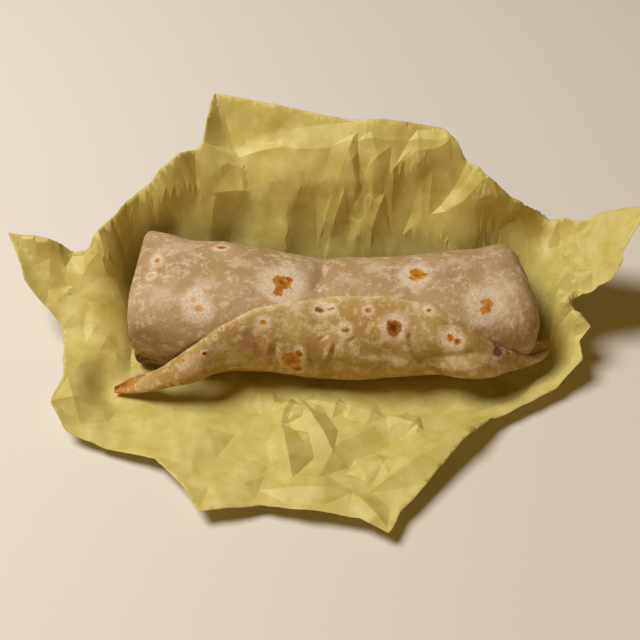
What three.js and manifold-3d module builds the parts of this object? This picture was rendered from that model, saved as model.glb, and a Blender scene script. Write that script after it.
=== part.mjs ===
// A flour-tortilla burrito lying seam side up in its opened yellow paper wrapper.
// Millimetres, +Z up. The burrito lies along X, the loose flap of the tortilla faces -Y,
// and the origin is on the underside of the paper, below the middle of the burrito.
import * as THREE from 'three';
import { mergeVertices } from 'three/addons/utils/BufferGeometryUtils.js';
import Module from 'manifold-3d';

const wasm = await Module();
wasm.setup();

// ---- driving dimensions -------------------------------------------------------------
const PAPER = 0.6;             // paper thickness, with its crumples
const GAP = 0.3;               // air left between the paper and the burrito
const BED = PAPER + GAP;       // height of the burrito's underside

const ROLL_LEFT = -97;         // ends of the rolled part
const ROLL_RIGHT = 97;
const ROLL_HALF_DEPTH = 31.2;  // half the roll's size along Y, at the middle
const ROLL_HALF_HEIGHT = 22.8;
const TAPER = 1.3;             // how much both half sizes shrink from the middle to the right
const BEND = 10;               // how far the ends lie behind the middle
const LEFT_END = { round: 6, slant: 0.3 };     // rounding where an end turns over, and how
const RIGHT_END = { round: 13, slant: 0.8 };   // much its face follows the bend

const TORTILLA = 2;            // one layer of tortilla
const SINK = 0.8;              // how deep the flap's inner face lies inside the roll

const FOOT_X = 113;            // half sizes of the flat patch the paper rests on
const FOOT_Y = 48;
const FOOT_POWER = 4;          // 2 is an ellipse, more is squarer

// ---- helpers ------------------------------------------------------------------------
const radians = THREE.MathUtils.degToRad;
const { smoothstep, lerp } = THREE.MathUtils;

// A point of a superellipse: half sizes a and b, angle 0 at +Y, 90 degrees at the top.
function ovalPoint(angle, a, b, powerUp, powerDown) {
  const c = Math.cos(angle);
  const s = Math.sin(angle);
  const power = 2 / (s >= 0 ? powerUp : powerDown);
  return [
    a * Math.sign(c) * Math.abs(c) ** power,
    b * Math.sign(s) * Math.abs(s) ** power,
  ];
}

// A mesh geometry from points and triangles given as index triples.
function geometryOf(points, triangles) {
  const geometry = new THREE.BufferGeometry();
  geometry.setAttribute('position', new THREE.Float32BufferAttribute(points.flat(), 3));
  geometry.setIndex(triangles.flat());
  return geometry;
}

// Joins closed rings of points, one after another, and closes both ends with a fan.
function loft(rings) {
  const count = rings[0].length;
  const points = rings.flat();
  const triangles = [];
  for (let j = 0; j < rings.length - 1; j += 1) {
    for (let i = 0; i < count; i += 1) {
      const a = j * count + i;
      const b = j * count + ((i + 1) % count);
      triangles.push([a, b, a + count], [b, b + count, a + count]);
    }
  }
  for (const [start, flip] of [[0, false], [(rings.length - 1) * count, true]]) {
    const ring = points.slice(start, start + count);
    const middle = [0, 1, 2].map((k) => ring.reduce((sum, p) => sum + p[k], 0) / count);
    const centre = points.push(middle) - 1;
    for (let i = 0; i < count; i += 1) {
      const a = start + i;
      const b = start + ((i + 1) % count);
      triangles.push(flip ? [centre, a, b] : [centre, b, a]);
    }
  }
  return geometryOf(points, triangles);
}

// A closed geometry as a solid that can be joined to another one.
function solidOf(geometry) {
  const merged = mergeVertices(geometry, 1e-4);
  return new wasm.Manifold(new wasm.Mesh({
    numProp: 3,
    vertProperties: new Float32Array(merged.attributes.position.array),
    triVerts: new Uint32Array(merged.index.array),
  }));
}

function geometryOfSolid(solid) {
  const { vertProperties, triVerts } = solid.getMesh();
  const geometry = new THREE.BufferGeometry();
  geometry.setAttribute('position', new THREE.Float32BufferAttribute(vertProperties, 3));
  geometry.setIndex([...triVerts]);
  return geometry;
}

// ---- the roll: an oval section swept along a slightly bent line ------------------------
const ALONG = 90;              // the distance from the middle at which the shape is stated
const SHOULDER = { x: -38, width: 28, back: 2.6 };   // where the roll bulges backwards

// Where the filling is fuller, or gives way: [height, place, width].
const FILLING = [[2.4, -54, 28], [-1.2, -5, 8], [1.4, 64, 22]];

const hump = (x, place, width) => Math.exp(-(((x - place) / width) ** 2));
const fill = (x) => FILLING.reduce((sum, [height, place, width]) => sum + height * hump(x, place, width), 0);
const shoulder = (x) => hump(x, SHOULDER.x, SHOULDER.width);
const rollY = (x) => 1.2 + BEND * (x / ALONG) ** 2 + SHOULDER.back * shoulder(x);
const rollSlope = (x) => (2 * BEND * x) / ALONG ** 2;
const rollDepth = (x) => ROLL_HALF_DEPTH - TAPER * (x / ALONG) - shoulder(x) + 0.6 * fill(x);

// The ends are a little lower than the middle, and lifted off the paper.
function rollHeight(x) {
  const lower = 4.2 * smoothstep(-x, 72, 98) + smoothstep(x, 80, 98);
  return ROLL_HALF_HEIGHT - TAPER * (x / ALONG) + 0.9 * fill(x) - lower;
}

function rollZ(x) {
  const lift = 6.5 * smoothstep(-x, 66, 98) + 3 * smoothstep(x, 72, 100);
  return BED + lift + rollHeight(x);
}

// The section is a soft oval, flatter below; towards the left end it becomes squarer.
function rollRing(x, inset, count) {
  const { slant } = x > 0 ? RIGHT_END : LEFT_END;
  const squarer = smoothstep(-x, 72, 97);
  const ring = [];
  for (let i = 0; i < count; i += 1) {
    const angle = (2 * Math.PI * i) / count;
    const [y, z] = ovalPoint(
      angle, rollDepth(x) - inset, rollHeight(x) - inset, 2.25 + squarer, 2.8 + 1.7 * squarer,
    );
    ring.push([x - slant * rollSlope(x) * y, rollY(x) + y, rollZ(x) + z]);
  }
  return ring;
}

// The rings of one folded end, from its flat face out to the full section.
function endRings(x, inward, { round }, sides, steps) {
  return Array.from({ length: steps }, (_, k) => {
    const turn = (k / steps) * (Math.PI / 2);
    return rollRing(x + inward * round * (1 - Math.cos(turn)), round * (1 - Math.sin(turn)), sides);
  });
}

function makeRoll() {
  const sides = 36;
  const stations = 26;
  const steps = 4;
  const body = Array.from({ length: stations + 1 }, (_, k) => {
    const x = lerp(ROLL_LEFT + LEFT_END.round, ROLL_RIGHT - RIGHT_END.round, k / stations);
    return rollRing(x, 0, sides);
  });
  return loft([
    ...endRings(ROLL_LEFT, 1, LEFT_END, sides, steps),
    ...body,
    ...endRings(ROLL_RIGHT, -1, RIGHT_END, sides, steps).reverse(),
  ]);
}

// ---- the flap: the outer half-moon of the tortilla, folded up over the front -----------
// Over the roll it is one more layer. Past the roll's ends it sinks into a flat pocket, a
// wing, given at a few places along X by its free edge and its lower fold, with a flat
// oval between them that starts and ends at the given angles in degrees.
const LEFT_WING = [
  { x: -48, edge: [-17.5, 43.5], fold: [-31.5, 18.5], thick: 9, start: 0, end: 230 },
  { x: -58, edge: [-22.5, 39], fold: [-33, 17.2], thick: 7.5, start: 0, end: 235 },
  { x: -68, edge: [-26, 32.6], fold: [-36, 15.2], thick: 6, start: 0, end: 240 },
  { x: -78, edge: [-25.5, 22], fold: [-36.8, 12.6], thick: 4.6, start: 0, end: 250 },
  { x: -85, edge: [-26, 16], fold: [-36.3, 10.2], thick: 3.8, start: 0, end: 280 },
  { x: -93, edge: [-26.2, 11.8], fold: [-35, 7], thick: 3.2, start: 42, end: 335 },
  { x: -100, edge: [-27.6, 7.4], fold: [-33, 4.4], thick: 2.6, start: 95, end: 350 },
  { x: -107, edge: [-29.4, 4.2], fold: [-31.4, 2.6], thick: 1.3, start: 140, end: 350 },
];
const RIGHT_WING = [
  { x: 48, edge: [-13, 43], fold: [-30.5, 16.5], thick: 9, start: 0, end: 230 },
  { x: 59, edge: [-17.6, 40.6], fold: [-31, 15], thick: 8, start: 0, end: 235 },
  { x: 70, edge: [-20.8, 36.4], fold: [-31.8, 15.2], thick: 6.8, start: 0, end: 240 },
  { x: 80, edge: [-22, 28.6], fold: [-30, 14.8], thick: 5.4, start: 0, end: 250 },
  { x: 87, edge: [-19.5, 22.3], fold: [-27, 13.6], thick: 4.4, start: 6, end: 280 },
  { x: 93, edge: [-15, 17.8], fold: [-24.6, 12.6], thick: 3.6, start: 60, end: 335 },
  { x: 99, edge: [-11.4, 15], fold: [-21, 11.8], thick: 3.4, start: 108, end: 350 },
  { x: 106, edge: [-10.4, 13.6], fold: [-15.4, 12], thick: 2.2, start: 95, end: 350 },
];

// A smooth curve through the rows of a wing, read at one x.
function readWing(rows, x) {
  const at = rows.map((row) => Math.abs(row.x));
  const values = rows.map(({ edge, fold, thick, start, end }) => [...edge, ...fold, thick, start, end]);
  const last = rows.length - 1;
  let i = 0;
  while (i < last - 1 && Math.abs(x) > at[i + 1]) i += 1;
  const span = at[i + 1] - at[i];
  const t = (Math.abs(x) - at[i]) / span;
  const rate = (j, k) => {
    const before = Math.max(j - 1, 0);
    const after = Math.min(j + 1, last);
    return (values[after][k] - values[before][k]) / (at[after] - at[before]);
  };
  return values[i].map((start, k) => {
    const end = values[i + 1][k];
    return start * (2 * t ** 3 - 3 * t ** 2 + 1) + end * (3 * t ** 2 - 2 * t ** 3)
      + span * rate(i, k) * (t ** 3 - 2 * t ** 2 + t) + span * rate(i + 1, k) * (t ** 3 - t ** 2);
  });
}

// A point [y, z] of the flap where the roll carries it; along runs from 0 at the free edge
// to 1 at the tail under the roll.
function onRoll(x, along, inset) {
  const edge = 103 + 90 * Math.abs((x - 5) / 86) ** 2.5 + 10 * smoothstep(-x, 0, 22);
  const stretch = Math.hypot(1, rollSlope(x));
  const skin = TORTILLA * 0.9 - inset;
  const [y, z] = ovalPoint(
    radians(lerp(edge, 245, along)), rollDepth(x) * stretch + skin, rollHeight(x) + skin, 2.2, 2.55,
  );
  return [rollY(x) + y, rollZ(x) + z];
}

// A point [y, z] of a wing's flat oval.
function inWing(x, along, wishedInset) {
  const [edgeY, edgeZ, foldY, foldZ, thick, start, end] = readWing(x < 0 ? LEFT_WING : RIGHT_WING, x);
  const [reachY, reachZ] = [(foldY - edgeY) / 2, (foldZ - edgeZ) / 2];
  const length = Math.hypot(reachY, reachZ);
  const inset = Math.min(wishedInset, thick * 0.55);
  const angle = radians(lerp(start, end, along));
  const lengthwise = Math.cos(angle) * (1 - inset / length);
  const sideways = (Math.sin(angle) * (thick - inset)) / length;
  return [
    edgeY + reachY * (1 - lengthwise) + sideways * reachZ,
    edgeZ + reachZ * (1 - lengthwise) - sideways * reachY,
  ];
}

// One slice of the flap: out along its outer face and back along its inner face.
function flapRing(x, count) {
  const wing = smoothstep(Math.abs(x), 46, 64);
  const layer = TORTILLA + SINK * (1 - wing);
  const ring = [];
  for (const inset of [0, layer]) {
    for (let i = 0; i < count; i += 1) {
      const along = inset ? 1 - i / (count - 1) : i / (count - 1);
      const [rollY0, rollZ0] = onRoll(x, along, inset);
      const [wingY, wingZ] = inWing(x, along, inset);
      const z = lerp(rollZ0, wingZ, wing);
      ring.push([x, lerp(rollY0, wingY, wing), Math.max(BED + inset * 0.5, z)]);
    }
  }
  return ring;
}

function makeFlap() {
  const perFace = 14;
  const slices = 44;
  const [left, right] = [LEFT_WING.at(-1).x, RIGHT_WING.at(-1).x];
  const xs = Array.from({ length: slices + 1 }, (_, k) => lerp(left, right, k / slices));
  return loft(xs.map((x) => flapRing(x, perFace)));
}

function makeBurrito() {
  const roll = solidOf(makeRoll());
  const flap = solidOf(makeFlap());
  return geometryOfSolid(roll.add(flap));
}

// ---- the wrapper: a sheet pushed open around the burrito ------------------------------
// Corners of its edge, [x, y, z], anticlockwise from the right-hand corner.
const RIM = [
  [157, 39, 62], [140, 49, 48], [134, 52, 42], [129, 52, 44], [113, 58, 33], [110, 60, 37],
  [98, 54, 48], [79, 57, 59], [67, 68, 69], [55, 77, 78], [16, 80, 82], [-22, 88, 84],
  [-60, 95, 86], [-66, 75, 69], [-81, 63, 67], [-105, 50, 54], [-122, 33, 42],
  [-137, 36, 38], [-142, 33, 46], [-163, 36, 47], [-156, 22, 38], [-154, 16, 32],
  [-136, 1, 14], [-131, -32, 15], [-135, -49, 17], [-127, -60, 8], [-108, -68, 5],
  [-83, -76, 8], [-69, -93, 9], [-61, -106, 9], [-33, -101, 6], [11, -109, 7], [25, -117, 7],
  [31, -105, 8], [42, -92, 9], [60, -70, 8], [76, -53, 6], [110, -33, 7], [123, -21, 14],
  [122, -12, 17], [128, -7, 23], [118, 4, 19], [124, 7, 28], [138, 10, 38], [143, 15, 46],
  [143, 20, 48],
];

// Creases: a straight ridge (or, with a negative rise, a valley) between two points, with
// the widths of its slopes on the left and right of the way it runs.
const CREASES = [
  { from: [-66, 74], to: [66, 70], rise: 5, left: 16, right: 12 },      // folded top hem
  { from: [-70, 78], to: [-94, 50], rise: 6, left: 12, right: 12 },
  { from: [-112, 50], to: [-100, 40], rise: 5, left: 10, right: 10 },
  { from: [13, 84], to: [-7, 50], rise: 5, left: 12, right: 10 },
  { from: [70, 78], to: [33, 72], rise: 5, left: 9, right: 9 },
  { from: [72, 74], to: [50, 56], rise: -5, left: 10, right: 10 },
  { from: [27, 64], to: [18, 50], rise: 5, left: 9, right: 9 },
  { from: [78, 66], to: [90, 50], rise: 5, left: 9, right: 9 },
  { from: [136, 50], to: [112, 44], rise: -6, left: 10, right: 10 },
  { from: [141, 15], to: [117, 21], rise: 5, left: 10, right: 8 },
  { from: [-137, 34], to: [-118, 30], rise: -6, left: 8, right: 10 },
  { from: [-143, 22], to: [-111, 6], rise: 5, left: 10, right: 10 },
  { from: [-132, -48], to: [-98, -38], rise: 5, left: 12, right: 12 },
  { from: [-22, -46], to: [-19, -86], rise: 5, left: 14, right: 12 },
  { from: [-10, -46], to: [0, -72], rise: 4, left: 8, right: 12 },
  { from: [78, -50], to: [16, -93], rise: 5, left: 14, right: 12 },
  { from: [-60, -102], to: [10, -96], rise: 4, left: 12, right: 10 },
];

const SPOKES = 96;
const RINGS = 11;
const FOOT_CENTRE = [6, -4];   // where the flat patch's triangles meet

// The edge at one fraction of its length.
function rimPoints(count) {
  const corners = RIM.map((p) => new THREE.Vector3(...p));
  const closed = [...corners, corners[0]];
  const lengths = [0];
  for (let i = 1; i < closed.length; i += 1) {
    lengths.push(lengths[i - 1] + closed[i].distanceTo(closed[i - 1]));
  }
  const total = lengths.at(-1);
  return Array.from({ length: count }, (_, k) => {
    const along = (total * k) / count;
    let i = 0;
    while (lengths[i + 1] <= along) i += 1;
    const t = (along - lengths[i]) / (lengths[i + 1] - lengths[i]);
    return closed[i].clone().lerp(closed[i + 1], t);
  });
}

// The edge of the flat patch in the direction of a point.
function footPoint(x, y) {
  const reach = (Math.abs(x / FOOT_X) ** FOOT_POWER + Math.abs(y / FOOT_Y) ** FOOT_POWER)
    ** (-1 / FOOT_POWER);
  return [x * reach, y * reach];
}

// Height that one crease adds at a place.
function creaseHeight({ from, to, rise, left, right }, x, y) {
  const [dx, dy] = [to[0] - from[0], to[1] - from[1]];
  const length = Math.hypot(dx, dy);
  const along = ((x - from[0]) * dx + (y - from[1]) * dy) / length;
  const across = ((y - from[1]) * dx - (x - from[0]) * dy) / length;
  const beyond = Math.max(0, -along, along - length);
  const slope = Math.hypot(across, beyond) / (across > 0 ? left : right);
  return rise * Math.max(0, 1 - slope);
}

// Every crease fades out at the flat patch, so that the paper lies down there.
function creasesAt(x, y, t) {
  const fade = smoothstep(t, 0, 0.25);
  return fade * CREASES.reduce((sum, crease) => sum + creaseHeight(crease, x, y), 0);
}

function makeWrapper() {
  const rim = rimPoints(SPOKES);
  const top = [];
  for (let j = 0; j <= RINGS; j += 1) {
    const t = j / RINGS;
    for (const edge of rim) {
      const [footX, footY] = footPoint(edge.x, edge.y);
      const x = lerp(footX, edge.x, t);
      const y = lerp(footY, edge.y, t);
      const climb = 1.15 - 0.4 * (y / Math.hypot(x, y));   // the back wall rises at once
      const z = Math.max(0, edge.z * t ** climb + creasesAt(x, y, t));
      top.push([x, y, z + PAPER]);
    }
  }
  top.push([...FOOT_CENTRE, PAPER]);
  const points = [...top, ...top.map(([x, y, z]) => [x, y, z - PAPER])];
  const under = top.length;
  const middle = under - 1;
  const triangles = [];
  const face = (a, b, c) => {
    triangles.push([a, b, c], [a + under, c + under, b + under]);
  };
  for (let i = 0; i < SPOKES; i += 1) {
    const next = (i + 1) % SPOKES;
    face(middle, i, next);
    for (let j = 0; j < RINGS; j += 1) {
      const a = j * SPOKES + i;
      const b = j * SPOKES + next;
      face(a, a + SPOKES, b);
      face(b, a + SPOKES, b + SPOKES);
    }
    const a = RINGS * SPOKES + i;
    const b = RINGS * SPOKES + next;
    triangles.push([a, a + under, b], [b, a + under, b + under]);
  }
  return geometryOf(points, triangles);
}

// ---- the object ----------------------------------------------------------------------
function sheen(color, roughness) {
  return new THREE.MeshStandardMaterial({ color, roughness, metalness: 0 });
}

function namedMesh(name, geometry, material) {
  geometry.computeVertexNormals();
  const mesh = new THREE.Mesh(geometry, material);
  mesh.name = name;
  return mesh;
}

const burrito = new THREE.Group();
burrito.add(namedMesh('burrito', makeBurrito(), sheen('#bda77d', 0.75)));
burrito.add(namedMesh('wrapper', makeWrapper(), sheen('#cdbd5c', 0.6)));

export default burrito;
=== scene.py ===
# %% [markdown]
# # A burrito in its opened paper wrapper
#
# The part is a flour tortilla rolled round its filling. Its last half-moon is folded up
# over the front and ends left and right in two flat tips. Under it lies the yellow deli
# paper that it came in, pushed open and full of creases.
#
# Both are thin, soft sheets with a clear rule behind their shape, so both are grids of
# points from short formulas, and what is small is added to the points: lumps, wrinkles,
# toasted spots, folds and crumples.

# %% Load the frame and keep its box
import itertools
import math

import bmesh
import bpy
import numpy as np
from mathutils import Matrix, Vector, geometry
from mathutils.bvhtree import BVHTree


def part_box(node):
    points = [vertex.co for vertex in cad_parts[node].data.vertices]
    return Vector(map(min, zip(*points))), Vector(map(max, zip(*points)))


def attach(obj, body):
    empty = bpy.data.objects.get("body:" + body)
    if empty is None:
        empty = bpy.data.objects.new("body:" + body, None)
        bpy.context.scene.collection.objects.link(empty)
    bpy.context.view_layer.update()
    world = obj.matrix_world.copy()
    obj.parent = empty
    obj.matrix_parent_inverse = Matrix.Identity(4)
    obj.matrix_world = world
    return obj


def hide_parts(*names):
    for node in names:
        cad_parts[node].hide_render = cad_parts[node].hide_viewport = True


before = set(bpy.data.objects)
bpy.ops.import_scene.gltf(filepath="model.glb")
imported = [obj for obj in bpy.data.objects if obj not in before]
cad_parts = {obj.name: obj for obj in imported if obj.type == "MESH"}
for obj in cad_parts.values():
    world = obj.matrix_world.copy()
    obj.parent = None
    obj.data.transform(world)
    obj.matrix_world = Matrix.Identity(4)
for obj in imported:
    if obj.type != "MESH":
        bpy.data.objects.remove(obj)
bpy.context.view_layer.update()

MM = 0.001
burrito_low, burrito_high = np.array(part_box("burrito")) / MM
wrapper_low, wrapper_high = np.array(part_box("wrapper")) / MM
print("burrito", np.round(burrito_high - burrito_low), "mm")
print("wrapper", np.round(wrapper_high - wrapper_low), "mm")

# %% [markdown]
# ## Camera
#
# The burrito is seen from in front and above, as by someone who is about to pick it up.
# A camera is easiest to place by what it looks at: a target, a distance and an elevation.

# %% Camera
CAMERA_TARGET = Vector((-6.1, 1.2, 20.0)) * MM
CAMERA_DISTANCE = 667 * MM
CAMERA_ELEVATION = math.radians(48)


def place_camera():
    camera = bpy.data.objects.new("camera", bpy.data.cameras.new("camera"))
    camera.data.lens = 75
    camera.data.sensor_width = 36
    back = Vector((0, -math.cos(CAMERA_ELEVATION), math.sin(CAMERA_ELEVATION)))
    camera.location = CAMERA_TARGET + CAMERA_DISTANCE * back
    camera.rotation_euler = back.to_track_quat("Z", "Y").to_euler()
    bpy.context.collection.objects.link(camera)
    bpy.context.scene.camera = camera
    return camera


camera = place_camera()
print("camera at", [round(c, 3) for c in camera.location])

# %% [markdown]
# ## Shared helpers
#
# Shapes are worked out in millimetres with NumPy, and turned into metres when the mesh is
# made. A smooth noise and a smooth step give the unevenness that food and paper have.

# %% Helpers for shapes
def smoothstep(x, low, high):
    t = np.clip((x - low) / (high - low), 0, 1)
    return t * t * (3 - 2 * t)


def noise(points, size, seed):
    """Smooth noise from -1 to 1 whose bumps are about `size` across."""
    cell = np.asarray(points, float) / size
    base = np.floor(cell).astype(np.int64)
    t = cell - base
    t = t * t * t * (t * (t * 6 - 15) + 10)
    total = np.zeros(len(cell))
    for corner in itertools.product((0, 1), repeat=3):
        key = ((base + corner) * [73856093, 19349663, 83492791]).sum(axis=1)
        key = (key + seed * 97911361) & 0x7FFFFFFF
        key = ((key ^ (key >> 15)) * 2146121005) & 0x7FFFFFFF
        key = ((key ^ (key >> 13)) * 739982445) & 0x7FFFFFFF
        value = ((key >> 11) & 0xFFFF) / 32767.5 - 1
        total += value * np.prod(np.where(corner, t, 1 - t), axis=1)
    return total


def distance_to_path(points, path):
    """Distance of each point from a polyline, and how far along it the nearest place is."""
    best = np.full(len(points), np.inf)
    along = np.zeros(len(points))
    for i, (a, b) in enumerate(zip(path[:-1], path[1:])):
        a, b = np.array(a, float), np.array(b, float)
        t = np.clip((points - a) @ (b - a) / ((b - a) @ (b - a)), 0, 1)
        d = np.linalg.norm(points - a - t[:, None] * (b - a), axis=1)
        closer = d < best
        best = np.where(closer, d, best)
        along = np.where(closer, (i + t) / (len(path) - 1), along)
    return best, along


def make_mesh(name, points_mm, faces):
    mesh = bpy.data.meshes.new(name)
    mesh.from_pydata((np.asarray(points_mm) * MM).tolist(), [], [list(f) for f in faces])
    mesh.update()
    thing = bpy.data.objects.new(name, mesh)
    bpy.context.collection.objects.link(thing)
    return thing


def read(rows, name):
    flat = np.empty(len(rows) * 3, dtype=np.float32)
    rows.foreach_get(name, flat)
    return flat.reshape(-1, 3).astype(float)


def points_of(thing):
    return read(thing.data.vertices, "co") / MM


def normals_of(thing):
    return read(thing.data.vertex_normals, "vector")


def move_points(thing, points_mm):
    thing.data.vertices.foreach_set("co", (points_mm * MM).astype(np.float32).ravel())
    thing.data.update()


def store(thing, name, values):
    attribute = thing.data.attributes.new(name, "FLOAT", "POINT")
    attribute.data.foreach_set("value", np.asarray(values, dtype=np.float32))

# %% [markdown]
# ## The roll
#
# A rolled burrito is nearly an oval tube, flatter underneath where it rests. It is bent a
# little, pinched in the middle where the filling gives way, and tucked in at its ends. One
# formula gives the oval at any place along it, so the tube is a loft of many ovals.

# %% The roll's section
BED = burrito_low[2]  # height at which the burrito rests on the paper
ROLL_LEFT, ROLL_RIGHT = -97.0, 97.0
# for the left end, -1, and the right end, 1: the rounding's radius, and how far the end
# turns with the bend of the roll, where 1 is square to it
END_ROUND = {-1: 4.5, 1: 10.0}
END_SLANT = {-1: 0.3, 1: 0.8}
ALONG = 90.0  # distance from the middle at which the bend is measured
BEND = 10.0  # how far the roll stands back there


def hump(x, place, width):
    return np.exp(-(((x - place) / width) ** 2))


def roll_fill(x):
    """Fuller on the left and before the right end, pinched in the middle."""
    return 2.4 * hump(x, -54, 28) - 1.2 * hump(x, -5, 8) + 1.4 * hump(x, 64, 22)


def roll_y(x):
    return 1.2 + BEND * (x / ALONG) ** 2 + 2.6 * hump(x, -38, 28)


def roll_slope(x):
    return 2 * BEND * x / ALONG**2


def roll_depth(x):
    return 31.2 - 1.4 * (x / ALONG) - 1.2 * hump(x, -38, 24) + 0.6 * roll_fill(x)


def roll_height(x):
    ends = 4.2 * smoothstep(-x, 72, 98) + 4.5 * smoothstep(-x, 66, 88) + 1.0 * smoothstep(x, 80, 98)
    return 22.8 - 1.2 * (x / ALONG) + 0.9 * roll_fill(x) - ends


def roll_z(x):
    lift = 6.5 * smoothstep(-x, 66, 98) + 9 * smoothstep(-x, 66, 88) + 3 * smoothstep(x, 72, 100)
    return BED + lift + roll_height(x)


def oval(angle, a, b, power_up, power_down):
    """A point of a superellipse: angle 0 at +Y, a quarter turn at the top."""
    c, s = np.cos(angle), np.sin(angle)
    power = 2 / np.where(s >= 0, power_up, power_down)
    return a * np.sign(c) * np.abs(c) ** power, b * np.sign(s) * np.abs(s) ** power


def roll_ring(x, inset, sides=200):
    """The roll's section at x, boxier near its ends where the tucked layers fill its corners."""
    angle = np.arange(sides) * 2 * np.pi / sides
    boxy = smoothstep(-x, 72, 97) + 0.45 * smoothstep(x, 76, 95)
    y, z = oval(angle, roll_depth(x) - inset, roll_height(x) - inset, 2.25 + boxy, 2.8 + 3 * boxy)
    slant = END_SLANT[1 if x > 0 else -1] * roll_slope(x)
    return np.stack([x - slant * y, roll_y(x) + y, roll_z(x) + z], axis=1)

# %% [markdown]
# The tucked ends are hidden from the front, but they are as real as the rest: seen from
# the side the folded tortilla winds inwards as a spiral of soft, rounded layers.

# %% Ends and loft
SPIRAL_TURNS = 2.6
SPIRAL_DEPTH = 2.0
SPIRAL_WIDTH = 0.16  # half width of the groove, as a share of the distance between turns


def end_cap(x, outward, sides=200, rings=26):
    """Rings from the rounded edge to the middle of one end, dished along a spiral."""
    edge = roll_ring(x, END_ROUND[outward])
    middle = edge.mean(axis=0)
    turn = np.arange(sides) / sides
    caps = []
    for scale in np.linspace(1, 0.03, rings)[1:]:
        ring = middle + (edge - middle) * scale
        wave = np.mod(scale * SPIRAL_TURNS + outward * turn, 1)
        groove = hump(np.minimum(wave, 1 - wave), 0, SPIRAL_WIDTH)
        crown = 1.2 * (1 - scale**2)
        fade = smoothstep(1 - scale, 0, 0.15)
        ring[:, 0] += outward * (crown - SPIRAL_DEPTH * groove * fade)
        caps.append(ring)
    return caps


def loft(rings):
    """Closed rings joined one after another, with a fan on each end."""
    sides = len(rings[0])
    points = np.concatenate([*rings, [rings[0].mean(axis=0)], [rings[-1].mean(axis=0)]])
    faces = []
    for j in range(len(rings) - 1):
        for i in range(sides):
            a, b = j * sides + i, j * sides + (i + 1) % sides
            faces.append((a, b, b + sides, a + sides))
    last = (len(rings) - 1) * sides
    first_middle, last_middle = len(points) - 2, len(points) - 1
    for i in range(sides):
        after = (i + 1) % sides
        faces.append((first_middle, after, i))
        faces.append((last_middle, last + i, last + after))
    return points, faces


def rounded_end(x, outward, steps=12):
    turns = np.arange(steps) / steps * np.pi / 2
    size = END_ROUND[outward]
    return [
        roll_ring(x - outward * size * (1 - np.cos(t)), size * (1 - np.sin(t)))
        for t in turns
    ]


def make_roll():
    stations = np.linspace(ROLL_LEFT + END_ROUND[-1], ROLL_RIGHT - END_ROUND[1], 200)
    rings = [
        *reversed(end_cap(ROLL_LEFT, -1)),
        *rounded_end(ROLL_LEFT, -1),
        *[roll_ring(x, 0) for x in stations],
        *reversed(rounded_end(ROLL_RIGHT, 1)),
        *end_cap(ROLL_RIGHT, 1),
    ]
    return make_mesh("tortilla_roll", *loft(rings))


roll = make_roll()
print("roll", len(roll.data.polygons), "faces")

# %% [markdown]
# At the left end the outer layer stands a little off the paper, and the layers under it
# show in a dark recess: one plain block with rounded edges that reaches the paper.

# %% Inner layers
INNER_DEPTH, INNER_HEIGHT, INNER_FORWARD = 24, 16, 4.5
INNER_STATIONS = [(-99, 0.86), (-98.3, 0.95), (-97, 1.0), (-75, 1.0), (-60, 0.92)]  # x; size


def make_inner_layers(sides=96):
    angle = np.arange(sides) * 2 * np.pi / sides
    rings = []
    for x, size in INNER_STATIONS:
        y, z = oval(angle, INNER_DEPTH * size, INNER_HEIGHT * size, 3, 4.5)
        middle_y, middle_z = roll_y(x) - INNER_FORWARD, BED + INNER_HEIGHT
        rings.append(np.stack([np.full(sides, x), middle_y + y, middle_z + z], axis=1))
    return make_mesh("inner_layers", *loft(rings))


inner_layers = make_inner_layers()
print("inner layers", len(inner_layers.data.polygons), "faces")

# %% [markdown]
# ## The flap
#
# The flap is the last part of the round tortilla. On the roll it follows the roll's own
# oval, one layer further out. Past the ends of the roll nothing holds it up, and it sinks
# into a flat pocket, the wing. A wing is a flat oval between its free edge and its lower
# fold, which are given at a few places with a smooth curve read through them.

# %% The flap's section
TORTILLA = 2.0  # thickness of one layer
SINK = 0.8  # how much deeper the flap reaches into the roll, so that the two join
FLAP_TOP, FLAP_TAIL = 103, 245  # degrees round the roll, from the back over the top

# x; free edge y, z; fold y, z; half thickness; where the oval starts and ends in degrees
LEFT_WING = [
    (-48, -17.5, 43.5, -31.5, 18.5, 9, 0, 230),
    (-58, -22.5, 39, -33, 17.2, 7.5, 0, 235),
    (-68, -26, 32.6, -36, 15.2, 6, 0, 240),
    (-78, -25.5, 22, -36.8, 12.6, 4.6, 0, 250),
    (-85, -26, 16, -36.3, 10.2, 3.8, 0, 280),
    (-93, -25.4, 12.6, -35, 7, 2.9, 66, 335),
    (-100, -26.2, 8.6, -33.4, 4.2, 2.3, 116, 350),
    (-105, -28, 5.4, -32.2, 3, 1.6, 118, 350),
    (-107.5, -29.2, 4.8, -31.8, 3.1, 0.8, 118, 350),
]
RIGHT_WING = [
    (48, -13, 43, -30.5, 16.5, 9, 0, 230),
    (59, -17.6, 40.6, -31, 15, 8, 0, 235),
    (70, -20.8, 36.4, -31.8, 15.2, 6.8, 0, 240),
    (80, -22, 28.6, -30, 14.8, 5.4, 0, 250),
    (87, -19.5, 22.3, -27, 13.6, 4.4, 6, 280),
    (93, -14.8, 18, -24.6, 12.6, 3, 64, 335),
    (99, -10, 16.2, -21, 12, 1.5, 108, 352),
    (104, -9, 15.9, -18.4, 12.2, 1.4, 102, 352),
    (107, -11.4, 15.2, -15.4, 13.2, 0.7, 102, 352),
]


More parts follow.
